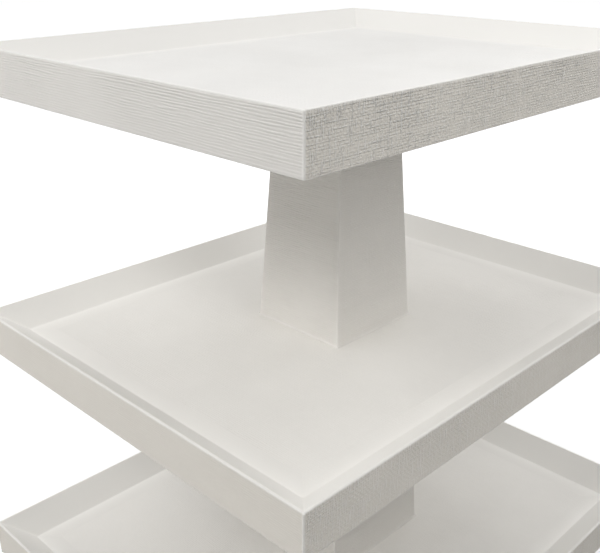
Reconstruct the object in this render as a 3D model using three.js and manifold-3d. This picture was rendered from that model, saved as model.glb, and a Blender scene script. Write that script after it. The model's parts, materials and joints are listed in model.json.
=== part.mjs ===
// Tiered display table: rectangular trays with sloping rims, each a step larger than the one above it, stand
// on a tapered square column, clamped together by one tie rod, and every outside face is wrapped in
// lacquered woven cloth.
// Millimetres, +Z up, origin on the floor under the middle of the table, -Y is the front.

import * as THREE from "three";
import { mergeVertices } from "three/addons/utils/BufferGeometryUtils.js";
import Module from "manifold-3d";

const wasm = await Module();
wasm.setup();

// Trays
const TOP_TRAY_WIDTH = 500;
const TOP_TRAY_DEPTH = 620;
const TIER_STEP = 20;
const TRAY_HEIGHT = 50;
const LIP_WIDTH = 3;
const RIM_INSET = 36;
const WELL_DEPTH = 24;
const TIER_PITCH = 314;
const TONGUE_LENGTH = 8;
const TONGUE_THICKNESS = 6;

// Cloth wrap and glue
const WRAP_THICKNESS = 1.2;
const GLUE_LINE = 0.3;
const TRAY_TURN_UNDER = 40;

// Column
const COLUMN_TOP_WIDTH = 100;
const COLUMN_SPREAD = 0.114;
const PANEL_THICKNESS = 12;
const END_BLOCK_HEIGHT = 30;

// Dowels that keep trays and column square to each other
const DOWEL_DIAMETER = 8;
const DOWEL_LENGTH = 30;
const DOWEL_COVER = 6;
const DOWEL_EDGE = 12;

// Tie rod and its fastenings
const ROD_DIAMETER = 12;
const ROD_CLEARANCE = 0.8;
const ROD_TAIL = 6;
const THREAD_CLEARANCE = 0.3;
const NUT_ACROSS_FLATS = 19;
const NUT_HEIGHT = 10;
const WASHER_PLATE_SIDE = 60;
const WASHER_PLATE_THICKNESS = 3;
const TEE_NUT_FLANGE_DIAMETER = 32;
const TEE_NUT_FLANGE_THICKNESS = 2;
const TEE_NUT_BARREL_DIAMETER = 16;
const TEE_NUT_COVER = 3;

// Plinth and glides
const PLINTH_SETBACK = 75;
const PLINTH_HEIGHT = 34;
const PLINTH_THICKNESS = 18;
const CORNER_BLOCK_SIDE = 45;
const GLIDE_DIAMETER = 26;
const GLIDE_HEIGHT = 5;
const GLIDE_EDGE = 1.5;
const GLIDE_PIN_DIAMETER = 4;
const GLIDE_PIN_LENGTH = 14;

// Facets of round pieces
const DOWEL_SIDES = 12;
const ROD_SIDES = 20;
const GLIDE_SIDES = 24;

// The wood core lies this far inside the cloth's outer face.
const CORE_INSET = WRAP_THICKNESS + GLUE_LINE;

// The base of a tray is the lowest face of its wrap; tier 0 is the bottom tray.
const TIERS = ["bottom", "middle", "top"];
const TOP_TIER = TIERS.length - 1;
const trayBase = (tier) => GLIDE_HEIGHT + PLINTH_HEIGHT + tier * TIER_PITCH;
const trayFloor = (tier) => trayBase(tier) + TRAY_HEIGHT - WELL_DEPTH;
const boardUnderside = (tier) => trayBase(tier) + CORE_INSET;
const boardTop = (tier) => trayFloor(tier) - CORE_INSET;

// A column section stands on the floor of its tray and carries the next tray's board.
const COLUMNS = ["lower", "upper"];
const columnFoot = (tier) => trayFloor(tier) + GLUE_LINE;
const columnHead = (tier) => boardUnderside(tier + 1) - GLUE_LINE;

// A rectangle in plan is given by its half sizes; each tray reaches a step beyond the one above it, and
// the column grows from a point on the axis.
function trayPlan(tier) {
  const grown = (TOP_TIER - tier) * TIER_STEP;
  return { x: TOP_TRAY_WIDTH / 2 + grown, y: TOP_TRAY_DEPTH / 2 + grown };
}

const PLINTH_PLAN = { x: trayPlan(0).x - PLINTH_SETBACK, y: trayPlan(0).y - PLINTH_SETBACK };
const AXIS = { x: 0, y: 0 };
const CORNERS = { front_right: [1, -1], back_right: [1, 1], back_left: [-1, 1], front_left: [-1, -1] };

// The four sides of a rectangle, as quarter turns about +Z from the back.
const SIDES = { back: 0, left: 1, front: 2, right: 3 };

const finishes = {
  wrap: { color: 0xdedbd4, roughness: 0.45, metalness: 0 },
  board: { color: 0xa98a66, roughness: 0.8, metalness: 0 },
  block: { color: 0xc29d6c, roughness: 0.7, metalness: 0 },
  dowel: { color: 0xd8b98a, roughness: 0.65, metalness: 0 },
  steel: { color: 0xb8bbbf, roughness: 0.35, metalness: 1 },
  glide: { color: 0x4a4845, roughness: 0.5, metalness: 0 },
};

const table = new THREE.Group();
table.name = "tiered_display_table";

function addPiece(name, geometry, finish) {
  const piece = new THREE.Mesh(geometry, new THREE.MeshStandardMaterial(finishes[finish]));
  piece.name = name;
  table.add(piece);
  return piece;
}

// Solids: joined corners, and cuts and joins between closed bodies

function closed(geometry) {
  geometry.deleteAttribute("normal");
  geometry.deleteAttribute("uv");
  const merged = mergeVertices(geometry, 1e-3);
  const corners = merged.index.array;
  const kept = [];
  for (let i = 0; i < corners.length; i += 3) {
    const [a, b, c] = corners.slice(i, i + 3);
    if (a !== b && b !== c && c !== a) kept.push(a, b, c);
  }
  merged.setIndex(kept);
  return merged;
}

function toManifold(geometry) {
  const vertProperties = new Float32Array(geometry.attributes.position.array);
  const triVerts = new Uint32Array(geometry.index.array);
  return new wasm.Manifold(new wasm.Mesh({ numProp: 3, vertProperties, triVerts }));
}

function toGeometry(solid) {
  const mesh = solid.getMesh();
  const geometry = new THREE.BufferGeometry();
  geometry.setAttribute("position", new THREE.BufferAttribute(new Float32Array(mesh.vertProperties), 3));
  geometry.setIndex([...mesh.triVerts]);
  return geometry;
}

const cut = (geometry, holes) =>
  toGeometry(holes.reduce((solid, hole) => solid.subtract(toManifold(hole)), toManifold(geometry)));

const join = (first, second) => toGeometry(toManifold(first).add(toManifold(second)));

// Outlines: each point is a reach beyond a rectangle in plan, negative inside it, and a height

const point = (reach, height) => new THREE.Vector2(reach, height);

// Carries an outline round a rectangle. A ring joins its last point to its first; any other outline
// starts with a flat face that looks down and ends with one that looks up.
function carriedRound(plan, outline, isRing) {
  const places = outline.flatMap(({ x: reach, y: height }) =>
    Object.values(CORNERS).flatMap(([x, y]) => [x * (plan.x + reach), y * (plan.y + reach), height]),
  );
  const faces = [];
  const addQuad = (a, b, c, d) => faces.push(a, b, c, a, c, d);
  const strips = isRing ? outline.length : outline.length - 1;
  for (let i = 0; i < strips; i++) {
    const low = 4 * i;
    const high = 4 * ((i + 1) % outline.length);
    for (let k = 0; k < 4; k++) {
      const next = (k + 1) % 4;
      addQuad(low + k, low + next, high + next, high + k);
    }
  }
  if (!isRing) {
    const last = 4 * strips;
    addQuad(3, 2, 1, 0);
    addQuad(last, last + 1, last + 2, last + 3);
  }
  const geometry = new THREE.BufferGeometry();
  geometry.setAttribute("position", new THREE.Float32BufferAttribute(places, 3));
  geometry.setIndex(faces);
  return geometry;
}

// A length of a section along one side of a rectangle, with both ends mitred as a picture frame's are.
function mitredSide(plan, section, turns) {
  const [along, across] = turns % 2 ? [plan.y, plan.x] : [plan.x, plan.y];
  const geometry = new THREE.ExtrudeGeometry(new THREE.Shape(section), { depth: 1, bevelEnabled: false });
  const place = geometry.attributes.position;
  for (let i = 0; i < place.count; i++) {
    const reach = place.getX(i);
    const end = 2 * place.getZ(i) - 1;
    place.setXYZ(i, end * (along + reach - GLUE_LINE / Math.SQRT2), across + reach, place.getY(i));
  }
  return closed(geometry);
}

function addFourSides(name, plan, section, finish) {
  for (const [side, turns] of Object.entries(SIDES)) {
    const piece = addPiece(`${name}_${side}`, mitredSide(plan, section, turns), finish);
    piece.rotation.z = (turns * Math.PI) / 2;
  }
}

// Moves an open outline to its left by a distance and keeps its corners sharp.
function insetOutline(outline, distance) {
  const normals = outline.slice(1).map((end, i) => {
    const along = end.clone().sub(outline[i]).normalize();
    return point(-along.y, along.x);
  });
  return outline.map((corner, i) => {
    const before = normals[Math.max(i - 1, 0)];
    const after = normals[Math.min(i, normals.length - 1)];
    const shift = before.clone().add(after).multiplyScalar(distance / (1 + before.dot(after)));
    return corner.clone().add(shift);
  });
}

function round(diameter, bottom, top, sides) {
  const radius = diameter / 2;
  const geometry = new THREE.CylinderGeometry(radius, radius, top - bottom, sides);
  return closed(geometry.rotateX(Math.PI / 2).translate(0, 0, (bottom + top) / 2));
}

// A hole that runs a little past both of its ends, so that it cuts clean through.
const hole = (diameter, bottom, top, sides) => round(diameter, bottom - GLUE_LINE, top + GLUE_LINE, sides);
const rodHole = (bottom, top) => hole(ROD_DIAMETER + 2 * ROD_CLEARANCE, bottom, top, ROD_SIDES);
const threadHole = (bottom, top) => hole(ROD_DIAMETER + 2 * THREAD_CLEARANCE, bottom, top, ROD_SIDES);

// Column width: it grows steadily from the top tray down, and a depth is measured square to its face.
function columnHalf(height, depth) {
  const slant = Math.hypot(1, COLUMN_SPREAD / 2);
  const drop = trayBase(TOP_TIER) - height;
  return (COLUMN_TOP_WIDTH + COLUMN_SPREAD * drop) / 2 - depth * slant;
}

const PANEL_INNER = CORE_INSET + PANEL_THICKNESS;
const BLOCK_DEPTH = PANEL_INNER + GLUE_LINE;

// Dowels: a pair on the X axis under a column's foot and a pair on the Y axis over its head, each running
// from the column's end block into the tray's board and stopping short of the board's other face.
const dowelReach = (tier) => columnHalf(columnHead(tier), BLOCK_DEPTH) - DOWEL_EDGE;

function footDowels(tier) {
  const bottom = boardUnderside(tier) + DOWEL_COVER;
  return [1, -1].map((side) => ({ x: side * dowelReach(tier), y: 0, bottom, top: bottom + DOWEL_LENGTH }));
}

function headDowels(tier) {
  const top = boardTop(tier + 1) - DOWEL_COVER;
  return [1, -1].map((side) => ({ x: 0, y: side * dowelReach(tier), bottom: top - DOWEL_LENGTH, top }));
}

const dowelHoles = (dowels) =>
  dowels.map(({ x, y, bottom, top }) =>
    hole(DOWEL_DIAMETER + 2 * GLUE_LINE, bottom, top, DOWEL_SIDES).translate(x, y, 0),
  );

function addDowels(name, dowels) {
  dowels.forEach(({ x, y, bottom, top }, i) => {
    const dowel = round(DOWEL_DIAMETER, bottom, top, DOWEL_SIDES);
    addPiece(`${name}_dowel_${i + 1}`, dowel, "dowel").position.set(x, y, 0);
  });
}

// Tee nut: sunk flush in the top tray's board, under the cloth, and the tie rod screws up into it.
const TEE_NUT_SEAT = boardTop(TOP_TIER) - TEE_NUT_FLANGE_THICKNESS;
const TEE_NUT_END = boardUnderside(TOP_TIER) + TEE_NUT_COVER;

const teeNutHoles = () => [
  hole(TEE_NUT_FLANGE_DIAMETER + 2 * GLUE_LINE, TEE_NUT_SEAT, boardTop(TOP_TIER), ROD_SIDES),
  hole(TEE_NUT_BARREL_DIAMETER + 2 * GLUE_LINE, boardUnderside(TOP_TIER), boardTop(TOP_TIER), ROD_SIDES),
];

function addTeeNut() {
  const top = boardTop(TOP_TIER);
  const flange = round(TEE_NUT_FLANGE_DIAMETER, TEE_NUT_SEAT, top, ROD_SIDES);
  const barrel = round(TEE_NUT_BARREL_DIAMETER, TEE_NUT_END, top, ROD_SIDES);
  addPiece("tee_nut", cut(join(flange, barrel), [threadHole(TEE_NUT_END, top)]), "steel");
}

// Tray: a tongued board, four grooved and mitred rails with a sloping inner face, and the wrap.
function trayHoles(tier) {
  if (tier === TOP_TIER) return [...dowelHoles(headDowels(tier - 1)), ...teeNutHoles()];
  const through = rodHole(trayBase(tier), trayFloor(tier));
  const carried = tier > 0 ? dowelHoles(headDowels(tier - 1)) : [];
  return [through, ...dowelHoles(footDowels(tier)), ...carried];
}

function addTray(tier) {
  const name = `${TIERS[tier]}_tray`;
  const plan = trayPlan(tier);
  const base = trayBase(tier);
  const rim = base + TRAY_HEIGHT;
  const face = [
    point(-TRAY_TURN_UNDER, base),
    point(0, base),
    point(0, rim),
    point(-LIP_WIDTH, rim),
    point(-RIM_INSET, trayFloor(tier)),
    point(-2 * RIM_INSET, trayFloor(tier)),
  ];
  const [, outerFoot, outerTop, lip, slopeFoot] = insetOutline(face, CORE_INSET);

  const boardEdge = slopeFoot.x - GLUE_LINE;
  const tongueEdge = boardEdge + TONGUE_LENGTH;
  const middle = (boardUnderside(tier) + boardTop(tier)) / 2;
  const tongueBottom = middle - TONGUE_THICKNESS / 2;
  const tongueTop = middle + TONGUE_THICKNESS / 2;
  const board = carriedRound(plan, [
    point(boardEdge, boardUnderside(tier)),
    point(boardEdge, tongueBottom),
    point(tongueEdge, tongueBottom),
    point(tongueEdge, tongueTop),
    point(boardEdge, tongueTop),
    point(boardEdge, boardTop(tier)),
  ]);
  addPiece(`${name}_board`, cut(board, trayHoles(tier)), "board");

  const grooveEdge = tongueEdge + GLUE_LINE;
  const rail = [
    outerFoot,
    outerTop,
    lip,
    slopeFoot,
    point(slopeFoot.x, tongueTop + GLUE_LINE),
    point(grooveEdge, tongueTop + GLUE_LINE),
    point(grooveEdge, tongueBottom - GLUE_LINE),
    point(slopeFoot.x, tongueBottom - GLUE_LINE),
    point(slopeFoot.x, boardUnderside(tier)),
  ];
  addFourSides(`${name}_rail`, plan, rail, "board");

  const back = insetOutline(face, WRAP_THICKNESS).reverse();
  const wrap = carriedRound(plan, [...back, ...face]);
  addPiece(`${name}_wrap`, tier < TOP_TIER ? cut(wrap, trayHoles(tier)) : wrap, "wrap");
}

// Column: four tapered, mitred panels round two end blocks, in one wrap.
const columnWall = (bottom, top, outerDepth, innerDepth) => [
  point(columnHalf(bottom, outerDepth), bottom),
  point(columnHalf(top, outerDepth), top),
  point(columnHalf(top, innerDepth), top),
  point(columnHalf(bottom, innerDepth), bottom),
];

function endBlock(bottom, top, dowels) {
  const outline = [point(columnHalf(bottom, BLOCK_DEPTH), bottom), point(columnHalf(top, BLOCK_DEPTH), top)];
  return cut(carriedRound(AXIS, outline), [rodHole(bottom, top), ...dowelHoles(dowels)]);
}

function addColumn(tier) {
  const name = `${COLUMNS[tier]}_column`;
  const foot = columnFoot(tier);
  const head = columnHead(tier);
  addFourSides(`${name}_panel`, AXIS, columnWall(foot, head, CORE_INSET, PANEL_INNER), "board");
  addPiece(`${name}_foot_block`, endBlock(foot, foot + END_BLOCK_HEIGHT, footDowels(tier)), "block");
  addPiece(`${name}_head_block`, endBlock(head - END_BLOCK_HEIGHT, head, headDowels(tier)), "block");
  addDowels(`${name}_foot`, footDowels(tier));
  addDowels(`${name}_head`, headDowels(tier));
  addPiece(`${name}_wrap`, carriedRound(AXIS, columnWall(foot, head, 0, WRAP_THICKNESS), true), "wrap");
}

// Tie rod: from the tee nut down to a washer plate and nut under the bottom tray.
function addTieRod() {
  const plateTop = boardUnderside(0) - GLUE_LINE;
  const plateBottom = plateTop - WASHER_PLATE_THICKNESS;
  const plateHalf = WASHER_PLATE_SIDE / 2;
  const plate = carriedRound(AXIS, [point(plateHalf, plateBottom), point(plateHalf, plateTop)]);
  addPiece("washer_plate", cut(plate, [rodHole(plateBottom, plateTop)]), "steel");

  const nutTop = plateBottom - GLUE_LINE;
  const nutBottom = nutTop - NUT_HEIGHT;
  const acrossCorners = NUT_ACROSS_FLATS / Math.cos(Math.PI / 6);
  const nut = round(acrossCorners, nutBottom, nutTop, 6);
  addPiece("tie_rod_nut", cut(nut, [threadHole(nutBottom, nutTop)]), "steel");

  addPiece("tie_rod", round(ROD_DIAMETER, nutBottom - ROD_TAIL, TEE_NUT_SEAT, ROD_SIDES), "steel");
}

// Plinth: four mitred boards with a glue block in each corner, a wrap, and a glide under each block.
function glide(padTop, pinTop) {
  const padRadius = GLIDE_DIAMETER / 2;
  const pinRadius = GLIDE_PIN_DIAMETER / 2;
  const profile = [
    point(0, 0),
    point(padRadius - GLIDE_EDGE, 0),
    point(padRadius, GLIDE_EDGE),
    point(padRadius, padTop),
    point(pinRadius, padTop),
    point(pinRadius, pinTop),
    point(0, pinTop),
  ];
  return closed(new THREE.LatheGeometry(profile, GLIDE_SIDES).rotateX(Math.PI / 2));
}

function addPlinth() {
  const top = boardUnderside(0) - GLUE_LINE;
  const bottom = GLIDE_HEIGHT + CORE_INSET;
  const inner = -CORE_INSET - PLINTH_THICKNESS;
  const face = [point(inner, GLIDE_HEIGHT), point(0, GLIDE_HEIGHT), point(0, top)];
  const outer = -CORE_INSET;
  const board = [point(outer, bottom), point(outer, top), point(inner, top), point(inner, bottom)];
  addFourSides("plinth_board", PLINTH_PLAN, board, "board");
  const wrap = [...face, ...insetOutline(face, WRAP_THICKNESS).reverse()];
  addPiece("plinth_wrap", carriedRound(PLINTH_PLAN, wrap, true), "wrap");

  const blockHalf = CORNER_BLOCK_SIDE / 2;
  const blockReach = inner - GLUE_LINE - blockHalf;
  const padTop = bottom - GLUE_LINE;
  const pinTop = padTop + GLIDE_PIN_LENGTH;
  const pinHole = hole(GLIDE_PIN_DIAMETER + 2 * GLUE_LINE, padTop, pinTop, GLIDE_SIDES);
  for (const [corner, [x, y]] of Object.entries(CORNERS)) {
    const block = carriedRound(AXIS, [point(blockHalf, bottom), point(blockHalf, top)]);
    const centre = [x * (PLINTH_PLAN.x + blockReach), y * (PLINTH_PLAN.y + blockReach), 0];
    addPiece(`plinth_corner_block_${corner}`, cut(block, [pinHole]), "block").position.set(...centre);
    addPiece(`glide_${corner}`, glide(padTop, pinTop), "glide").position.set(...centre);
  }
}

TIERS.forEach((_, tier) => addTray(tier));
COLUMNS.forEach((_, tier) => addColumn(tier));
addTieRod();
addTeeNut();
addPlinth();

export default table;
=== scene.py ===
"""Looks of a tiered display table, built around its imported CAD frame.

Lacquered cloth is wrapped over the trays, the column and the plinth, the wood and metal parts get
their finishes, and a plain white studio is set up.
"""

import json
import math
from collections import namedtuple
from types import SimpleNamespace

import bmesh
import bpy
import numpy as np
from bpy.props import FloatProperty, FloatVectorProperty, PointerProperty
from mathutils import Matrix, Vector


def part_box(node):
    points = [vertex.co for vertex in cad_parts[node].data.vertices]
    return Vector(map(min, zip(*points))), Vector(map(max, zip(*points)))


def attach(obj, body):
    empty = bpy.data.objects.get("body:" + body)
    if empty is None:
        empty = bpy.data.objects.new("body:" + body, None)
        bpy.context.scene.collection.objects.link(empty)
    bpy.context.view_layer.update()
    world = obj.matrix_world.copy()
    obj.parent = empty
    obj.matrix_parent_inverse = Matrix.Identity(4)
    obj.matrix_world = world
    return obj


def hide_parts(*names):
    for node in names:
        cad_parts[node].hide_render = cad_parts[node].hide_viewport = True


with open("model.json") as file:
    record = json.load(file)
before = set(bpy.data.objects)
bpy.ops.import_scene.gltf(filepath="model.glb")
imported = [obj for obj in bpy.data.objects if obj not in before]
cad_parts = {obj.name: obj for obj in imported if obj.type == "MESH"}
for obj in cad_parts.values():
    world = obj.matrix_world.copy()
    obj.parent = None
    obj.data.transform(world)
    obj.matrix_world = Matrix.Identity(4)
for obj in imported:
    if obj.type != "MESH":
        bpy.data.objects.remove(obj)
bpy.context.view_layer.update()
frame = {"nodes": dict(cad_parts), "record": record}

bl_info = {
    "name": "Tiered Display Table",
    "version": (1, 0, 0),
    "blender": (4, 5, 0),
    "location": "View3D > Sidebar > Display Table",
    "description": "Wraps a tiered display table in lacquered cloth and sets up a plain studio",
    "category": "Add Mesh",
}

# Names
BODY = "root"
TRAYS = ("bottom", "middle", "top")
COLUMNS = ("lower", "upper")
WEAVE_MAP = "weave_map"
FINISH_ATTRIBUTES = ("weave", "cross", "sanded", "thin")

# Fineness of the meshes: counts, a share, and lengths in metres
FOLD_STEPS = 5
CORNER_STEPS = 6
FOLD_MARGIN = 0.0015
LARGEST_MARGIN_SHARE = 0.3
SECTION_SPACING = {"tray": 0.012, "column": 0.020, "plinth": 0.010}
PATH_SPACING = {"tray": 0.020, "column": 0.012, "plinth": 0.020}
TRAY_MARGINS = (0, 0.0005, 0.0010, 0.0016, 0.0026, 0.005, 0.010, 0.02)
POST_MARGINS = (0, 0.002, 0.005, 0.010)
COLUMN_END_MARGINS = (0, 0.0004, 0.0008, 0.0016, 0.003, 0.006)
SIGN_DIGITS = 9
SEAM = 2e-6
SLIVER = 1e-7
ON_WALL = 1e-4
BELOW_RIM = 1e-5

# Small sizes of the cloth, in metres
GLUED_CORNER = 0.0002
FOOT_SINK = 0.0002
BEAD_WIDTH = 0.0008
# Widths of the lighter lines at edges and folds, and the height above a tray's floor where edge
# lines reach full strength: wear together with a painted highlight
WEAR_HIGHLIGHT_WIDTH = 0.0011
WEAR_HIGHLIGHT_LEVEL = 0.012
FOLD_WIDTH = 0.0006
COLUMN_WEAR_HIGHLIGHT_WIDTH = 0.0015
PLINTH_WEAR_HIGHLIGHT_WIDTH = 0.0020
PLINTH_FOLD_WIDTH = 0.0018

# Shifts of the weave map, so that no two pieces or sides look alike
SIDE_SHIFT = 0.731
TRAY_SHIFT = 0.173
COLUMN_SHIFT = 0.411
PLINTH_SHIFT = 1.9
CLOSING_RUN = 0.001

# Shares: weave, cross threads, wear with a painted highlight, warm tint as painted bounce light; a
# pair runs between two places
WEAVE_SHOWN = {"bottom": 0.52, "middle": 0.54, "top": 0.88}
# Warm tint per tray, a painted warm bounce light: stronger on the lower trays, on walls than on
# floors
WARM_LIGHT_WALLS = {"bottom": 1.0, "middle": 1.0, "top": 0.4}
WARM_LIGHT_FLOOR = {"bottom": 0.3, "middle": 0.3, "top": 0.0}
WALL_WEAVE_FOOT_TO_RIM = (0.55, 1.0)
SLOPE_WEAVE_LIP_TO_FLOOR = (0.40, 0.20)
FOLD_WEAVE = 0.35
FRONT_TO_SIDE_WEAVE = (0.42, 1.0)
FLOOR_WEAVE = 0.24
FLOOR_CROSS = 0.6
LEAST_CROSS = 0.2
CROSS_LOST_AT_BACK = 0.35
# Share of the lighter edge line low down in a tray: wear with a painted highlight
LOW_WEAR_HIGHLIGHT = 0.35
WELL_FOLD = 0.15
COLUMN_FRONT_TO_SIDE_WEAVE = (0.38, 0.30)
COLUMN_FRONT_TO_SIDE_CROSS = (0.06, 0.56)
# Warm tint on the column as painted bounce light
COLUMN_WARM_LIGHT = 0.35
# Lighter upright corners of the column: wear with a painted highlight
COLUMN_WEAR_HIGHLIGHT = 0.35
PLINTH_WEAVE = 0.7
PLINTH_FRONT_TO_SIDE_CROSS = (0.06, 0.96)
# Warm tint on the plinth as painted bounce light
PLINTH_WARM_LIGHT = 1.0

# Shader values
MOST_NOISE = (0.3, 0.7)
SLUBS_PER_THREAD = 0.9
WEAVE_SMOOTHING = 0.2
WEAVE_SANDED_OFF = 0.9
# Painted shade in the hollows between the threads: the weave height below which it starts, and its
# strength
PAINTED_SHADE_BELOW = 0.8
PAINTED_SHADE_LEVEL = 0.27
# Share of the light edge colour on worn places: wear with a painted highlight, and painted light on
# the inner slopes
EDGE_COVER = 0.8
MIX_FACTOR, MIX_FIRST, MIX_SECOND, MIX_RESULT = 0, 6, 7, 2

# Studio, with lengths in metres and angles in degrees, round to the left from the front and up
Lamp = namedtuple("Lamp", "round_left up distance side")
LAMPS = {
    "front": Lamp(round_left=0, up=42, distance=3.0, side=1.0),
    "front_left": Lamp(round_left=45, up=32, distance=3.0, side=2.8),
    "back_left": Lamp(round_left=135, up=55, distance=3.0, side=2.8),
    "back": Lamp(round_left=180, up=32, distance=3.0, side=2.8),
    "right": Lamp(round_left=-90, up=35, distance=1.5, side=0.7),
    "front_right": Lamp(round_left=-45, up=42, distance=3.0, side=1.0),
}
LIT_POINT = (0, 0, 0.4)
FLOOR_LINES = np.linspace(-9, 9, 25)
FLOOR_GLOW = (0.62, 1.0)
FLOOR_GLOW_SPAN = (0.7, 2.2)
FLOOR_TONE = (0.58, 0.62)
CAMERA_PLACE = (0.64886, -0.71717, 0.83159)
CAMERA_YAW, CAMERA_PITCH, CAMERA_ROLL = 44.690, -22.560, 0.020
SENSOR_WIDTH = 36.0
CLIP_END = 60.0


# Settings

def number(name, description, default):
    return FloatProperty(name=name, description=description, default=default)


def length(name, description, default):
    return FloatProperty(
        name=name, description=description, default=default, unit="LENGTH", precision=4
    )


def colour(name, description, default):
    return FloatVectorProperty(
        name=name, description=description, default=default, subtype="COLOR", min=0.0, max=1.0
    )


def power(name, description, default):
    return FloatProperty(name=name, description=description, default=default, unit="POWER")


class WrapSizes(bpy.types.PropertyGroup):
    """Sizes of the cloth wraps, in metres."""

    thickness: length("Thickness", "Cloth with its glue and lacquer", 0.0012)
    turn_under: length("Turn under", "How far the cloth runs under a tray", 0.040)
    lip: length("Lip", "Flat top of a tray's rim", 0.003)
    rim: length("Rim", "Outer wall to the foot of the inner slope", 0.036)
    well_depth: length("Well depth", "Rim to floor", 0.024)
    floor_edge: length("Floor edge", "Outer wall to where the floor is quite flat", 0.060)
    edge_radius: length("Edge radius", "Rounding of the folded edges", 0.0010)
    lip_radius: length("Lip radius", "Rounding where the lip turns down into the well", 0.0012)
    well_radius: length("Well radius", "Turn from the slope to the floor", 0.003)
    well_corner: length("Well corner", "Rounding of the well's corners at the floor", 0.003)
    foot_fillet: length("Foot fillet", "Lacquer run in the angle at a column's foot", 0.0016)
    corner_radius: length("Corner radius", "Rounding of the upright corners", 0.0008)
    corner_bead: length("Corner bead", "Swelling of the cloth at a tray's upright corners", 0.0005)
    plinth_turn_in: length("Plinth turn in", "Width of the cloth under the plinth", 0.0195)
    column_spread: number("Column spread", "Growth of the column's width per length down", 0.114)


class Finishes(bpy.types.PropertyGroup):
    """Colours and textures of the finishes."""

    lacquer: colour("Lacquer", "Off-white satin lacquer, full coat", (0.868, 0.856, 0.832))
    # Warm tone that stands in for warm bounce light, mixed in on walls, right-facing sides and lower
    # trays
    warm: colour("Thin lacquer", "Lacquer that lets the cloth's tone show", (0.868, 0.827, 0.755))
    # Painted shade in the hollows between the threads
    shade: colour("Lacquer in the weave", "Lacquer between the threads", (0.540, 0.500, 0.430))
    # Light colour of worn edges, inner slopes and thread ridges: wear together with painted
    # highlights, and painted light on the slopes
    edge: colour("Sanded edge", "Lacquer over sanded edges and slopes", (0.955, 0.937, 0.897))
    sealer: colour("Sealer", "Paint on the bare undersides", (0.700, 0.688, 0.660))
    thin_sealer: colour("Thin sealer", "Paint where the roller ran dry", (0.640, 0.620, 0.580))
    fibre: colour("Fibre", "Specks of fibre in the sealer", (0.520, 0.460, 0.380))
    softwood: colour("Softwood", "Glue blocks", (0.560, 0.400, 0.235))
    softwood_grain: colour("Softwood grain", "Late wood of the glue blocks", (0.330, 0.200, 0.095))
    beech: colour("Beech", "Dowels", (0.640, 0.460, 0.280))
    beech_grain: colour("Beech grain", "Flecks of the dowels", (0.430, 0.270, 0.140))
    zinc: colour("Zinc", "Plated steel", (0.610, 0.620, 0.640))
    stain: colour("Stain", "Stains on the plating", (0.430, 0.420, 0.400))
    nylon: colour("Nylon", "Glides", (0.085, 0.080, 0.075))
    dust: colour("Dust", "Dust on the rubbed foot of the glides", (0.280, 0.265, 0.245))
    row_pitch: length("Row pitch", "Distance between threads up a wall", 0.0025)
    cross_pitch: length("Cross pitch", "Distance between threads along a wall", 0.0026)
    weave_depth: length("Weave depth", "Height of the threads", 0.0012)


class Studio(bpy.types.PropertyGroup):
    """Light levels and camera."""

    front: power("Front", "Soft light in front, above eye level", 20.0)
    front_left: power("Front left", "Broad light in front on the left", 45.5)
    back_left: power("Back left", "Broad light high behind on the left", 19.0)
    back: power("Back", "Broad light behind", 43.5)
    right: power("Right", "Small light close by on the right", 5.4)
    front_right: power("Front right", "Soft light in front on the right", 11.0)
    lens: number("Lens", "Focal length on a 36 mm wide frame", 50.438)


# Shares and distances

def blend(first, second, share):
    """The value that lies the given share of the way from the first to the second."""
    return first + (second - first) * share


def faded(distance, width):
    """A share that is 1 at no distance and falls off as a bell curve of the given width."""
    return np.exp(-((distance / width) ** 2))


def mirrored(rows):
    """Values of a section's points, first for its back, which runs the other way, then its face."""
    return np.concatenate([rows[::-1], rows])


def facing_x(path):
    """The share by which each place on a path looks along x: the squared cosine of its angle."""
    return np.cos(path[:, 2])[None] ** 2


def corner_distance(path, half):
    """Distance of each place on a path from the nearer corner of its side."""
    return ((1 - np.abs(path[:, 0])) * half[0] + (1 - np.abs(path[:, 1])) * half[1])[None]


# Outlines and paths

def rounded_line(corners, radii, spacing):
    """A line through corners whose inner corners become arcs that touch both legs.

    Each arc has its own radius; a leg gets points at one and three margins from both ends, and then
    points no further apart than the spacing. Returns the points and, for each, the distance to the
    nearest rounded corner.
    """
    corners = np.asarray(corners, float)
    ends, arcs = [corners[0]], []
    for before, corner, after, radius in zip(corners, corners[1:], corners[2:], radii):
        back, ahead = (v / np.linalg.norm(v) for v in (before - corner, after - corner))
        half_angle = 0.5 * math.acos(float(np.clip(back @ ahead, -1, 1)))
        middle = (back + ahead) / np.linalg.norm(back + ahead)
        centre = corner + middle * radius / math.sin(half_angle)
        start = corner + back * radius / math.tan(half_angle) - centre
        stop = corner + ahead * radius / math.tan(half_angle) - centre
        sweep = math.pi - 2 * half_angle
        turn = np.linspace(0, 1, FOLD_STEPS + 1)[:, None]
        arc = (np.sin((1 - turn) * sweep) * start + np.sin(turn * sweep) * stop) / math.sin(sweep)
        arcs.append(centre + arc)
        ends += [arcs[-1][0], arcs[-1][-1]]
    ends.append(corners[-1])
    pieces = []
    for i, (first, last) in enumerate(zip(ends[::2], ends[1::2])):
        run = np.linalg.norm(last - first)
        share = along(run, (0, FOLD_MARGIN, 3 * FOLD_MARGIN), spacing)[:, None]
        pieces.append(blend(first, last, share))
        if i < len(arcs):
            pieces.append(arcs[i][1:-1])
    points = np.concatenate(pieces)
    gaps = np.linalg.norm(points[:, None] - corners[None, 1:-1], axis=2).min(axis=1)
    return points, gaps


def along(run, margins, spacing):
    """Shares from 0 to 1 of a run: points at the margins from both ends, and even ones between."""
    near = np.array([m for m in margins if m < LARGEST_MARGIN_SHARE * run])
    inner = run - 2 * near[-1]
    count = max(2, math.ceil(inner / spacing) + 1)
    middle = np.linspace(near[-1], run - near[-1], count)
    return np.concatenate([near[:-1], middle, (run - near[:-1])[::-1]]) / run


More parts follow.
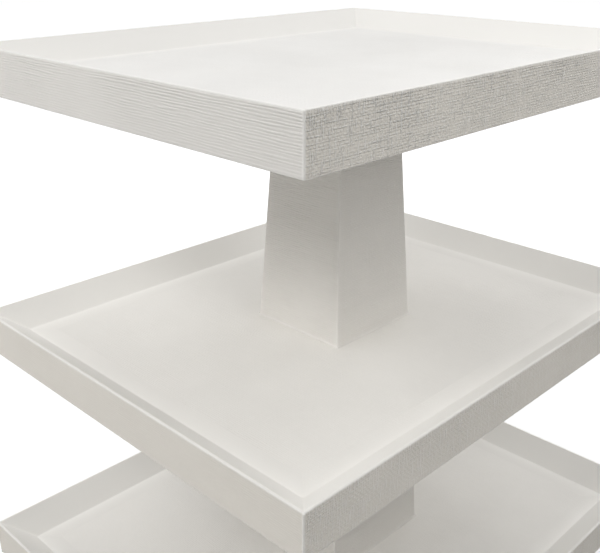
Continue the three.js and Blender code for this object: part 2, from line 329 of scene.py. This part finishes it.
def plan_path(size_x, size_y, margins, spacing):
    """A path round a rectangle, anticlockwise from the front right corner.

    Each row is one place on the path: two signs that run from -1 to 1 along a side, and the angle
    that the side or the corner's arc looks to. The side of each face between two places is 0 right,
    1 back, 2 left, 3 front.
    """
    quarter = math.pi / 2
    turn = np.linspace(0, 1, CORNER_STEPS + 1)
    signs = np.array([(1, -1), (1, 1), (-1, 1), (-1, -1)], float)
    rows, sides = [], []
    for c in range(4):
        start = (c - 1) * quarter
        here, there = signs[c], signs[(c + 1) % 4]
        arc = np.column_stack([np.tile(here, (CORNER_STEPS + 1, 1)), start + turn * quarter])
        share = along(size_y if c % 2 == 0 else size_x, margins, spacing)[1:-1, None]
        side = np.column_stack([blend(here, there, share), np.full(len(share), start + quarter)])
        rows += [arc, side]
        sides += [np.where(turn[:-1] < 0.5, (c - 1) % 4, c), np.full(len(share) + 1, c)]
    return np.concatenate(rows), np.concatenate(sides).astype(int)


def carried_round(path, half, profile, radius):
    """A profile carried round a rectangle: a grid of points, one row for each profile point.

    A profile point is a reach beyond the rectangle's half sizes and a height. Its own rectangle is
    that much larger, and its corners are arcs of the radius given for it.
    """
    sign_x, sign_y, angle = (path[:, i][None] for i in range(3))
    reach, height, radius = profile[:, :1], profile[:, 1:], radius[:, None]
    x = sign_x * (half[0] + reach - radius) + radius * np.cos(angle)
    y = sign_y * (half[1] + reach - radius) + radius * np.sin(angle)
    return np.stack([x, y, np.broadcast_to(height, x.shape)], axis=2)


def thickened(profile, thickness):
    """The profile moved to its left by a thickness, along the mean normal of each point's legs."""
    legs = np.diff(profile, axis=0)
    legs /= np.linalg.norm(legs, axis=1)[:, None]
    normals = np.column_stack([-legs[:, 1], legs[:, 0]])
    before = np.vstack([normals[:1], normals])
    after = np.vstack([normals, normals[-1:]])
    return profile + thickness * (before + after) / (1 + np.sum(before * after, axis=1))[:, None]


def run_length(profile):
    """Distance along a profile from its first point."""
    return np.concatenate([[0], np.cumsum(np.linalg.norm(np.diff(profile, axis=0), axis=1))])


# Meshes

def grid_faces(rows, columns, ring_rows=False, ring_columns=False):
    """Four-cornered faces of a grid of points, with the row and the column of each face."""
    i, k = np.meshgrid(
        np.arange(rows if ring_rows else rows - 1),
        np.arange(columns if ring_columns else columns - 1),
        indexing="ij",
    )
    i, k = i.ravel(), k.ravel()
    here, below, beyond = i * columns, (i + 1) % rows * columns, (k + 1) % columns
    return np.column_stack([here + k, here + beyond, below + beyond, below + k]), i, k


def band(points, sides, profile_run, finish, ring_rows=False):
    """A patch from a carried profile.

    The weave map runs along each side and up the profile, in metres. The finish holds a value of
    each of the finish attributes, one for each row, for each column or for each point.
    """
    rows, columns = points.shape[:2]
    faces, row, column = grid_faces(rows, columns, ring_rows, True)
    flat = points.reshape(-1, 3)
    side = sides[column]
    heading = np.array([(0, 1), (-1, 0), (0, -1), (1, 0)], float)[side]
    u = np.einsum("fcx,fx->fc", flat[faces][:, :, :2], heading) + SIDE_SHIFT * side[:, None]
    v = np.repeat(profile_run, columns)[faces]
    if ring_rows:
        last = row == rows - 1
        v[last, 2:] = v[last, :2][:, ::-1] + CLOSING_RUN
    spread = {
        label: np.broadcast_to(finish[label], (rows, columns)).ravel()
        for label in FINISH_ATTRIBUTES
    }
    return {"points": flat, "faces": faces, "map": np.stack([u, v], axis=2), **spread}


def flat_grid(xs, ys, height, faces_up=True):
    """Points and faces of a level grid of lines."""
    x, y = np.meshgrid(xs, ys, indexing="ij")
    points = np.stack([x, y, np.full_like(x, height)], axis=2).reshape(-1, 3)
    faces, _, _ = grid_faces(len(xs), len(ys))
    return points, faces[:, ::-1] if faces_up else faces


def floor_patch(xs, ys, height, finish, faces_up=True):
    """A level patch with its weave map straight from x and y."""
    points, faces = flat_grid(xs, ys, height, faces_up)
    spread = {label: np.full(len(points), finish[label]) for label in FINISH_ATTRIBUTES}
    return {"points": points, "faces": faces, "map": points[faces][:, :, :2], **spread}


def make_cloth(name, patches, material, map_shift):
    """One closed mesh of several patches, whose shared seams are merged."""
    def joined(key):
        return np.concatenate([p[key] for p in patches])

    starts = np.cumsum([0] + [len(p["points"]) for p in patches])
    faces = np.concatenate([p["faces"] + start for p, start in zip(patches, starts)])
    mesh = bpy.data.meshes.new(name)
    mesh.from_pydata(joined("points").tolist(), [], faces.tolist())
    layer = mesh.uv_layers.new(name=WEAVE_MAP)
    layer.uv.foreach_set("vector", (joined("map") + map_shift).astype(np.float32).ravel())
    for label in FINISH_ATTRIBUTES:
        attribute = mesh.attributes.new(label, "FLOAT", "POINT")
        attribute.data.foreach_set("value", joined(label).astype(np.float32))
    merged = bmesh.new()
    merged.from_mesh(mesh)
    bmesh.ops.remove_doubles(merged, verts=merged.verts, dist=SEAM)
    bmesh.ops.dissolve_degenerate(merged, edges=merged.edges, dist=SLIVER)
    merged.to_mesh(mesh)
    merged.free()
    mesh.shade_smooth()
    mesh.materials.append(material)
    piece = bpy.data.objects.new(name, mesh)
    bpy.context.scene.collection.objects.link(piece)
    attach(piece, BODY)
    return piece


# Node graphs

class Graph:
    """A node tree, with short calls that add a node and link its inputs."""

    def __init__(self, owner, last_node):
        owner.use_nodes = True
        self.owner = owner
        self.tree = owner.node_tree
        self.last = self.tree.nodes[last_node]

    def add(self, kind, inputs=(), output=0, **settings):
        node = self.tree.nodes.new(kind)
        for key, value in settings.items():
            setattr(node, key, value)
        pairs = inputs.items() if isinstance(inputs, dict) else enumerate(inputs)
        for key, value in pairs:
            self.feed(node.inputs[key], value)
        return node.outputs[output]

    def feed(self, socket, value):
        if isinstance(value, bpy.types.NodeSocket):
            self.tree.links.new(value, socket)
        else:
            socket.default_value = value

    def math(self, operation, *inputs):
        return self.add("ShaderNodeMath", inputs, operation=operation)

    def times(self, first, *others):
        for other in others:
            first = self.math("MULTIPLY", first, other)
        return first

    def linear(self, value, gain, base):
        return self.math("MULTIPLY_ADD", value, gain, base)

    def scaled(self, vector, scale):
        return self.add("ShaderNodeVectorMath", (vector, scale), operation="MULTIPLY")

    def noise(self, vector, scale=1.0, detail=2.0, roughness=0.5):
        inputs = {"Vector": vector, "Scale": scale, "Detail": detail, "Roughness": roughness}
        return self.add("ShaderNodeTexNoise", inputs)

    def ranged(self, value, low, high, span=(0.0, 1.0)):
        return self.add("ShaderNodeMapRange", (value, *span, low, high))

    def mixed(self, share, first, second):
        inputs = {MIX_FACTOR: share, MIX_FIRST: first, MIX_SECOND: second}
        return self.add("ShaderNodeMix", inputs, output=MIX_RESULT, data_type="RGBA")

    def bump(self, height, distance, strength=1.0):
        inputs = {"Strength": strength, "Distance": distance, "Height": height}
        return self.add("ShaderNodeBump", inputs)

    def attribute(self, label):
        return self.add("ShaderNodeAttribute", output="Fac", attribute_name=label)

    def place(self):
        return self.add("ShaderNodeTexCoord", output="Object")

    def seen(self):
        rays = self.add("ShaderNodeLightPath").node.outputs
        return self.math("MAXIMUM", rays["Is Camera Ray"], rays["Is Glossy Ray"])

    def finish(self, inputs):
        for key, value in inputs.items():
            self.feed(self.last.inputs[key], value)
        return self.owner


def material_graph(name):
    return Graph(bpy.data.materials.new(name), "Principled BSDF")


def opaque(values):
    return (*values, 1.0)


def woven_lacquer(look):
    """Off-white satin lacquer over a plain woven cloth with uneven threads.

    Rows run along a wall and crosses up it. Each set of threads is the size of a sine on the weave
    map, bent by a slow noise, times a slub noise that is stretched along the threads. The product
    of the two sines says which set lies on top, as on a chequerboard, and the higher set shows. The
    weave attribute scales the height and the painted shade in the hollows between the threads, and
    the cross attribute scales the crosses and a painted highlight on the thread ridges. Worn edges
    and folds are smooth and light, with a painted highlight, and the inner slopes get painted light.
    A warm tint stands in for warm bounce light.
    """
    g = material_graph("woven_lacquer")
    spot = g.add("ShaderNodeUVMap", uv_map=WEAVE_MAP)
    split = g.add("ShaderNodeSeparateXYZ", (spot,)).node
    weave, cross, sanded, thin = (g.attribute(label) for label in FINISH_ATTRIBUTES)

    def swing(across, pitch, bend_scale, bend):
        slow = g.noise(g.scaled(spot, bend_scale))
        sway = g.ranged(slow, -bend * pitch, bend * pitch, span=(0.25, 0.75))
        return g.math("SINE", g.times(g.math("ADD", across, sway), math.pi / pitch))

    def threads(wave, sharpness, slub_scale, finest, thickest):
        uneven = g.noise(g.scaled(spot, slub_scale), detail=1.0)
        slub = g.ranged(uneven, finest, thickest, span=(0.34, 0.66))
        return g.times(g.math("POWER", g.math("ABSOLUTE", wave), sharpness), slub)

    row_wave = swing(split.outputs[1], look.row_pitch, bend_scale=(22.0, 110.0, 0.0), bend=0.3)
    cross_wave = swing(split.outputs[0], look.cross_pitch, bend_scale=(110.0, 30.0, 0.0), bend=0.8)
    over = g.times(row_wave, cross_wave, cross)
    row_slubs = (45.0, SLUBS_PER_THREAD / look.row_pitch, 0.0)
    rows = threads(row_wave, sharpness=1.2, slub_scale=row_slubs, finest=0.4, thickest=1.1)
    rows = g.times(rows, g.linear(over, gain=0.5, base=0.85))
    cross_slubs = (SLUBS_PER_THREAD / look.cross_pitch, 60.0, 0.0)
    crosses = threads(cross_wave, sharpness=1.5, slub_scale=cross_slubs, finest=-0.5, thickest=1.5)
    crosses = g.times(crosses, cross, g.linear(over, gain=-0.3, base=0.8))
    cloth = g.math("SMOOTH_MAX", rows, crosses, WEAVE_SMOOTHING)

    cloudy = g.noise(spot, scale=11.0, detail=3.0)
    left_rough = g.linear(sanded, gain=-WEAVE_SANDED_OFF, base=1.0)
    strength = g.times(weave, left_rough, g.ranged(cloudy, 0.65, 1.3, span=MOST_NOISE))
    peel = g.noise(spot, scale=700.0)
    height = g.linear(peel, gain=0.07, base=g.times(cloth, strength))

    # Warm tint mixed in as painted warm bounce light
    tone = g.mixed(thin, opaque(look.lacquer), opaque(look.warm))
    # Painted shade in the hollows between the threads, deeper where the weave is stronger
    painted_shade_share = g.times(g.math("SUBTRACT", PAINTED_SHADE_BELOW, cloth), strength, PAINTED_SHADE_LEVEL)
    tone = g.mixed(g.math("MAXIMUM", painted_shade_share, 0.0), tone, opaque(look.shade))
    # Painted highlight on the thread ridges, together with lighter worn lacquer on their tops; it
    # follows the cross threads
    ridge_highlight = g.times(g.ranged(cloth, 0.0, 1.0, span=(0.5, 0.95)), strength, cross)
    tone = g.mixed(ridge_highlight, tone, opaque(look.edge))
    patchy = g.noise(spot, scale=5.0, detail=4.0, roughness=0.6)
    tone = g.scaled(tone, g.ranged(patchy, 0.97, 1.02, span=MOST_NOISE))
    # Light edge colour on worn places: wear with a painted highlight on edges and folds, and painted
    # light on the inner slopes
    tone = g.mixed(g.times(sanded, EDGE_COVER), tone, opaque(look.edge))
    satin = g.ranged(cloudy, 0.52, 0.62, span=MOST_NOISE)
    return g.finish({
        "Base Color": tone,
        "Roughness": g.linear(cloth, gain=0.06, base=satin),
        "Normal": g.bump(height, look.weave_depth),
        "Specular IOR Level": 0.26,
    })


def sealed_board(look):
    """Sealer rolled on fibreboard: a faint speckle, and a soft roller stipple."""
    g = material_graph("sealed_board")
    spot = g.place()
    stipple = g.noise(spot, scale=620.0, detail=3.0, roughness=0.6)
    bands = g.noise(g.scaled(spot, (9.0, 2.0, 9.0)), detail=4.0)
    dry = g.ranged(bands, 0.0, 0.5, span=(0.35, 0.7))
    speckle = g.ranged(g.noise(spot, scale=1500.0, detail=1.0), 0.0, 0.3, span=(0.62, 0.75))
    tone = g.mixed(dry, opaque(look.sealer), opaque(look.thin_sealer))
    return g.finish({
        "Base Color": g.mixed(speckle, tone, opaque(look.fibre)),
        "Roughness": g.ranged(stipple, 0.55, 0.75),
        "Normal": g.bump(stipple, distance=0.0003, strength=0.5),
        "Specular IOR Level": 0.4,
    })


def planed_wood(name, base, grain, fineness):
    """Straight-grained wood: stretched noise for the growth rings and a finer one for the pores."""
    g = material_graph(name)
    stretched = g.scaled(g.place(), (1.0, 1.0, 0.08))
    rings = g.noise(stretched, scale=90.0 * fineness, detail=4.0, roughness=0.6)
    pores = g.noise(stretched, scale=900.0 * fineness)
    tone = g.mixed(g.ranged(rings, 0.0, 1.0, span=(0.35, 0.65)), opaque(base), opaque(grain))
    tone = g.mixed(g.ranged(pores, 0.0, 0.35, span=(0.55, 0.75)), tone, opaque(grain))
    return g.finish({
        "Base Color": tone,
        "Roughness": g.ranged(rings, 0.5, 0.72),
        "Normal": g.bump(pores, distance=0.0004, strength=0.35),
    })


def zinc_plate(look):
    """Zinc plating: fine drawn lines, dull patches and a little staining."""
    g = material_graph("zinc_plate")
    spot = g.place()
    drawn = g.noise(g.scaled(spot, (900.0, 900.0, 40.0)))
    patches = g.add("ShaderNodeTexVoronoi", {"Vector": spot, "Scale": 420.0})
    stain = g.noise(spot, scale=70.0, detail=4.0, roughness=0.65)
    stained = g.ranged(stain, 0.0, 0.6, span=(0.45, 0.75))
    return g.finish({
        "Base Color": g.mixed(stained, opaque(look.zinc), opaque(look.stain)),
        "Roughness": g.linear(stain, gain=0.25, base=g.ranged(patches, 0.22, 0.34)),
        "Normal": g.bump(drawn, distance=0.00015, strength=0.25),
        "Metallic": 1.0,
    })


def moulded_nylon(look):
    """Moulded nylon: a fine spark-eroded grain, and a worn, dusty underside."""
    g = material_graph("moulded_nylon")
    spot = g.place()
    grain = g.noise(spot, scale=1400.0)
    dust = g.noise(spot, scale=160.0, detail=4.0, roughness=0.65)
    height = g.add("ShaderNodeSeparateXYZ", (spot,), output=2)
    low_down = g.ranged(height, 0.8, 0.0, span=(0.0, 0.0015))
    # Lighter dust on the glide's worn foot
    wear_and_highlight = g.times(low_down, g.ranged(dust, 0.0, 0.8, span=(0.4, 0.65)))
    return g.finish({
        "Base Color": g.mixed(wear_and_highlight, opaque(look.nylon), opaque(look.dust)),
        "Roughness": g.ranged(dust, 0.42, 0.62),
        "Normal": g.bump(grain, distance=0.0002, strength=0.4),
    })


def cloth_finish(look):
    """The finish that all cloths share, made the first time that it is asked for."""
    return bpy.data.materials.get("woven_lacquer") or woven_lacquer(look)


# Operators

class WrapTrays(bpy.types.Operator):
    """Stretches one cloth over each tray's floor, rim and outer wall, turned under the edge"""

    bl_idname = "display_table.wrap_trays"
    bl_label = "Wrap Trays"

    def execute(self, context):
        sizes, material = context.scene.wrap_sizes, cloth_finish(context.scene.finishes)
        for tier, tray in enumerate(TRAYS):
            self.wrap(tray, tier, sizes, material)
        return {"FINISHED"}

    def wrap(self, tray, tier, sizes, material):
        node = f"{tray}_tray_wrap"
        low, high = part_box(node)
        half = ((high.x - low.x) / 2, (high.y - low.y) / 2)
        floor = high.z - sizes.well_depth
        corners = [
            (-sizes.turn_under, low.z), (0, low.z), (0, high.z), (-sizes.lip, high.z),
            (-sizes.rim, floor), (-sizes.floor_edge, floor),
        ]
        radii = [sizes.edge_radius, sizes.edge_radius, sizes.lip_radius, sizes.well_radius]
        face, gap = rounded_line(corners, radii, SECTION_SPACING["tray"])
        profile = np.concatenate([thickened(face, sizes.thickness)[::-1], face])
        path, sides = plan_path(2 * half[0], 2 * half[1], TRAY_MARGINS, PATH_SPACING["tray"])
        zones = self.zones(face, low.z, high.z, sizes)
        points = carried_round(path, half, profile, mirrored(zones.corner))
        from_corner = corner_distance(path, half)
        bead = sizes.corner_bead * np.concatenate([np.zeros(len(face)), zones.wall])[:, None]
        bead = bead * faded(from_corner, BEAD_WIDTH)
        points[:, :, 0] += bead * np.cos(path[:, 2])
        points[:, :, 1] += bead * np.sin(path[:, 2])
        finish = self.finish(tray, zones, gap, path, from_corner)
        patches = [band(points, sides, run_length(profile), finish)]

        signs = (path[np.isclose(np.abs(path[:, 1 - axis]), 1), axis] for axis in (0, 1))
        xs, ys = (
            np.unique(np.round(sign, SIGN_DIGITS)) * (reach - sizes.floor_edge)
            for sign, reach in zip(signs, half)
        )
        plain = {
            "weave": FLOOR_WEAVE * WEAVE_SHOWN[tray] ** 0.5,
            "cross": FLOOR_CROSS,
            "sanded": 0.0,
            # Warm tint on the floor as painted bounce light
            "thin": WARM_LIGHT_FLOOR[tray],
        }
        patches.append(floor_patch(xs, ys, floor, plain))
        patches.append(floor_patch(xs, ys, floor - sizes.thickness, plain, faces_up=False))

        piece = make_cloth(f"{tray}_tray_cloth", patches, material, TRAY_SHIFT * (tier + 1))
        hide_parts(node)

    def zones(self, face, bottom, top, sizes):
        """Where each point of the section lies, as masks and shares, and its corner's radius."""
        reach, height = face.T
        wall = np.abs(reach) < ON_WALL
        well = (height < top - BELOW_RIM) & (reach < -sizes.lip)
        up_wall = np.clip((height - bottom) / (top - bottom), 0, 1)
        down_slope = np.clip((-reach - sizes.lip) / (sizes.rim - sizes.lip), 0, 1)
        over_edge = np.clip((-reach - sizes.rim) / (sizes.floor_edge - sizes.rim), 0, 1)
        well_corner = blend(sizes.corner_radius, sizes.well_corner, down_slope) * (1 - over_edge)
        return SimpleNamespace(
            wall=wall, well=well, up_wall=up_wall, down_slope=down_slope, over_edge=over_edge,
            high=height > top - sizes.well_depth + WEAR_HIGHLIGHT_LEVEL,
            corner=np.where(well, well_corner, sizes.corner_radius),
        )

    def finish(self, tray, zones, gap, path, from_corner):
        """Finish attributes: worn edges and folds with a painted highlight, painted light on the
        inner slopes, a warm tint as painted bounce light, and a bolder weave on the side walls.
        """
        faces_x = facing_x(path)
        weave = np.where(zones.well, blend(*SLOPE_WEAVE_LIP_TO_FLOOR, zones.down_slope), FOLD_WEAVE)
        weave = np.where(zones.wall, blend(*WALL_WEAVE_FOOT_TO_RIM, zones.up_wall), weave)
        shown = WEAVE_SHOWN[tray] * blend(*FRONT_TO_SIDE_WEAVE, faces_x)
        towards_back = (path[:, 1][None] + 1) / 2
        # Lighter lines at the folded edges, full high up: wear with a painted highlight
        wear_and_highlight = np.where(zones.high, 1.0, LOW_WEAR_HIGHLIGHT) * faded(gap, WEAR_HIGHLIGHT_WIDTH)
        # Inner slopes lighter from the lip down to the floor's edge: painted light
        wear_and_highlight = np.maximum(wear_and_highlight, np.where(zones.well, (1 - zones.over_edge) ** 2, 0.0))
        # Lighter upright corners at the bead: wear with a painted highlight
        folded = np.where(zones.well, WELL_FOLD, 1.0)[:, None] * faded(from_corner, FOLD_WIDTH)
        # Warm tint as painted bounce light, full on walls that face along x
        warm_light_wall = blend(WARM_LIGHT_WALLS[tray], 1.0, faces_x)
        return {
            "weave": mirrored(weave)[:, None] * shown,
            "cross": LEAST_CROSS + faces_x * (1 - CROSS_LOST_AT_BACK * towards_back),
            "sanded": mirrored(np.maximum(wear_and_highlight[:, None], folded)),
            "thin": mirrored(np.where(zones.wall[:, None], warm_light_wall, WARM_LIGHT_FLOOR[tray])),
        }


class WrapColumns(bpy.types.Operator):
    """Wraps one cloth round each tapered section of the column"""

    bl_idname = "display_table.wrap_columns"
    bl_label = "Wrap Columns"

    def execute(self, context):
        sizes, material = context.scene.wrap_sizes, cloth_finish(context.scene.finishes)
        for tier, column in enumerate(COLUMNS):
            self.wrap(column, tier, sizes, material)
        return {"FINISHED"}

    def wrap(self, column, tier, sizes, material):
        """The face is a straight taper that ends in a quarter circle on the tray below."""
        node = f"{column}_column_wrap"
        low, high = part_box(node)
        tall = high.z - low.z
        top = high.x - sizes.column_spread * tall / 2
        share = along(tall, COLUMN_END_MARGINS, SECTION_SPACING["column"])
        face = blend(np.array([high.x, low.z]), np.array([top, high.z]), share[:, None])
        back = face - (sizes.thickness, 0)
        stood_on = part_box(f"{TRAYS[tier]}_tray_wrap")[1].z - sizes.well_depth
        into_foot = np.clip(1 - (face[:, 1] - low.z) / sizes.foot_fillet, 0, 1)
        face[:, 0] += sizes.foot_fillet * (1 - np.sqrt(1 - into_foot**2))
        face[:, 1] -= (low.z - stood_on + FOOT_SINK) * (into_foot == 1)
        profile = np.concatenate([face, back[::-1]])
        corner = np.repeat((sizes.corner_radius, GLUED_CORNER), len(face))
        path, sides = plan_path(2 * top, 2 * top, POST_MARGINS, PATH_SPACING["column"])
        points = carried_round(path, (0, 0), profile, corner)
        faces_x = facing_x(path)
        finish = {
            "weave": blend(*COLUMN_FRONT_TO_SIDE_WEAVE, faces_x),
            "cross": blend(*COLUMN_FRONT_TO_SIDE_CROSS, faces_x),
            # Lighter upright corners: wear with a painted highlight
            "sanded": COLUMN_WEAR_HIGHLIGHT * faded(corner_distance(path, (top, top)), COLUMN_WEAR_HIGHLIGHT_WIDTH),
            # Warm tint as painted bounce light
            "thin": COLUMN_WARM_LIGHT,
        }
        run = tall * np.concatenate([share, share[::-1]])
        patch = band(points, sides, run, finish, ring_rows=True)
        piece = make_cloth(f"{column}_column_cloth", [patch], material, COLUMN_SHIFT * (tier + 1))
        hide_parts(node)


class WrapPlinth(bpy.types.Operator):
    """Wraps one cloth round the plinth, turned in under its boards"""

    bl_idname = "display_table.wrap_plinth"
    bl_label = "Wrap Plinth"

    def execute(self, context):
        sizes, material = context.scene.wrap_sizes, cloth_finish(context.scene.finishes)
        low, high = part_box("plinth_wrap")
        half = (high.x, high.y)
        corners = [(-sizes.plinth_turn_in, low.z), (0, low.z), (0, high.z)]
        face, gap = rounded_line(corners, [sizes.edge_radius], SECTION_SPACING["plinth"])
        profile = np.concatenate([face, thickened(face, sizes.thickness)[::-1]])
        corner = np.repeat((sizes.corner_radius, GLUED_CORNER), len(face))
        path, sides = plan_path(2 * half[0], 2 * half[1], POST_MARGINS, PATH_SPACING["plinth"])
        points = carried_round(path, half, profile, corner)
        # Lighter folded edges and upright corners: wear with a painted highlight
        wear_and_highlight = faded(np.concatenate([gap, gap[::-1]]), PLINTH_WEAR_HIGHLIGHT_WIDTH)[:, None]
        finish = {
            "weave": PLINTH_WEAVE,
            "cross": blend(*PLINTH_FRONT_TO_SIDE_CROSS, facing_x(path)),
            "sanded": np.maximum(wear_and_highlight, faded(corner_distance(path, half), PLINTH_FOLD_WIDTH)),
            # Warm tint as painted bounce light
            "thin": PLINTH_WARM_LIGHT,
        }
        run = run_length(face)
        patch = band(points, sides, np.concatenate([run, run[::-1]]), finish, ring_rows=True)
        piece = make_cloth("plinth_cloth", [patch], material, PLINTH_SHIFT)
        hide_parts("plinth_wrap")
        return {"FINISHED"}


class FinishCore(bpy.types.Operator):
    """Gives the wood and metal parts of the frame their finishes"""

    bl_idname = "display_table.finish_core"
    bl_label = "Finish Core"

    def execute(self, context):
        look = context.scene.finishes
        finishes = {
            "board": sealed_board(look),
            "block": planed_wood("softwood", look.softwood, look.softwood_grain, fineness=1.0),
            "dowel": planed_wood("beech", look.beech, look.beech_grain, fineness=1.6),
            "zinc_steel": zinc_plate(look),
            "glide": moulded_nylon(look),
        }
        for part in frame["record"]["subparts"]:
            if part["material_slot"] in finishes:
                node = frame["nodes"][part["node"]]
                node.data.materials.clear()
                node.data.materials.append(finishes[part["material_slot"]])
        return {"FINISHED"}


class SetStudio(bpy.types.Operator):
    """Sets the plain floor, the soft lights and the camera"""

    bl_idname = "display_table.set_studio"
    bl_label = "Set Studio"

    def execute(self, context):
        studio = context.scene.studio
        self.lay_floor()
        self.light(studio)
        self.aim_camera(studio)
        context.scene.view_settings.view_transform = "Standard"
        return {"FINISHED"}

    def lay_floor(self):
        """A level floor that the lamps light, and that glows towards white away from the table."""
        g = material_graph("studio_floor")
        spot = g.place()
        away = g.add("ShaderNodeVectorMath", (spot,), output="Value", operation="LENGTH")
        glow = g.ranged(away, *FLOOR_GLOW, span=FLOOR_GLOW_SPAN)
        material = g.finish({
            "Base Color": g.ranged(g.noise(spot, scale=3.0), *FLOOR_TONE),
            "Roughness": 0.9,
            "Specular IOR Level": 0.1,
            "Emission Color": (1, 1, 1, 1),
            "Emission Strength": g.times(g.seen(), glow),
        })
        points, faces = flat_grid(FLOOR_LINES, FLOOR_LINES, 0.0)
        mesh = bpy.data.meshes.new("studio_floor")
        mesh.from_pydata(points.tolist(), [], faces.tolist())
        mesh.materials.append(material)
        floor = bpy.data.objects.new("studio_floor", mesh)
        bpy.context.scene.collection.objects.link(floor)

    def light(self, studio):
        """A world that is white to the camera and in sheen and gives no light, and the lamps."""
        g = Graph(bpy.data.worlds.new("studio_world"), "Background")
        bpy.context.scene.world = g.finish({"Color": (1, 1, 1, 1), "Strength": g.seen()})
        for name, lamp in LAMPS.items():
            self.panel(name, lamp, getattr(studio, name))

    def panel(self, name, lamp, energy):
        """A square light that looks at the table's middle."""
        turn, rise = math.radians(lamp.round_left), math.radians(lamp.up)
        level = math.cos(rise)
        away = Vector((-math.sin(turn) * level, -math.cos(turn) * level, math.sin(rise)))
        light = bpy.data.lights.new(f"{name}_light", "AREA")
        light.shape = "SQUARE"
        light.size = lamp.side
        light.energy = energy
        holder = bpy.data.objects.new(f"{name}_light", light)
        holder.location = Vector(LIT_POINT) + lamp.distance * away
        holder.rotation_euler = (-away).to_track_quat("-Z", "Y").to_euler()
        holder.visible_camera = False
        bpy.context.scene.collection.objects.link(holder)

    def aim_camera(self, studio):
        yaw, pitch, roll = map(math.radians, (CAMERA_YAW, CAMERA_PITCH, CAMERA_ROLL))
        level = math.cos(pitch)
        ahead = Vector((-math.sin(yaw) * level, math.cos(yaw) * level, math.sin(pitch)))
        right = Vector((math.cos(yaw), math.sin(yaw), 0))
        up = right.cross(ahead)
        turned = Matrix((right, up, -ahead)).transposed() @ Matrix.Rotation(roll, 3, "Z")
        lens = bpy.data.cameras.new("camera")
        lens.lens = studio.lens
        lens.sensor_width = SENSOR_WIDTH
        lens.clip_end = CLIP_END
        camera = bpy.data.objects.new("camera", lens)
        camera.matrix_world = Matrix.Translation(CAMERA_PLACE) @ turned.to_4x4()
        bpy.context.scene.collection.objects.link(camera)
        bpy.context.scene.camera = camera


STEPS = (WrapTrays, WrapColumns, WrapPlinth, FinishCore, SetStudio)


class DisplayTablePanel(bpy.types.Panel):
    """Lists the steps that dress the table, and their settings"""

    bl_idname = "VIEW3D_PT_display_table"
    bl_label = "Display Table"
    bl_space_type = "VIEW_3D"
    bl_region_type = "UI"
    bl_category = "Display Table"

    def draw(self, context):
        for step in STEPS:
            self.layout.operator(step.bl_idname)
        for group in (context.scene.wrap_sizes, context.scene.finishes, context.scene.studio):
            box = self.layout.box()
            for name in group.__annotations__:
                box.prop(group, name)


CLASSES = (WrapSizes, Finishes, Studio, *STEPS, DisplayTablePanel)


def register():
    for cls in CLASSES:
        bpy.utils.register_class(cls)
    bpy.types.Scene.wrap_sizes = PointerProperty(type=WrapSizes)
    bpy.types.Scene.finishes = PointerProperty(type=Finishes)
    bpy.types.Scene.studio = PointerProperty(type=Studio)


def unregister():
    for name in ("wrap_sizes", "finishes", "studio"):
        delattr(bpy.types.Scene, name)
    for cls in reversed(CLASSES):
        bpy.utils.unregister_class(cls)


def main():
    register()
    bpy.ops.display_table.wrap_trays()
    bpy.ops.display_table.wrap_columns()
    bpy.ops.display_table.wrap_plinth()
    bpy.ops.display_table.finish_core()
    bpy.ops.display_table.set_studio()


if __name__ == "__main__":
    main()
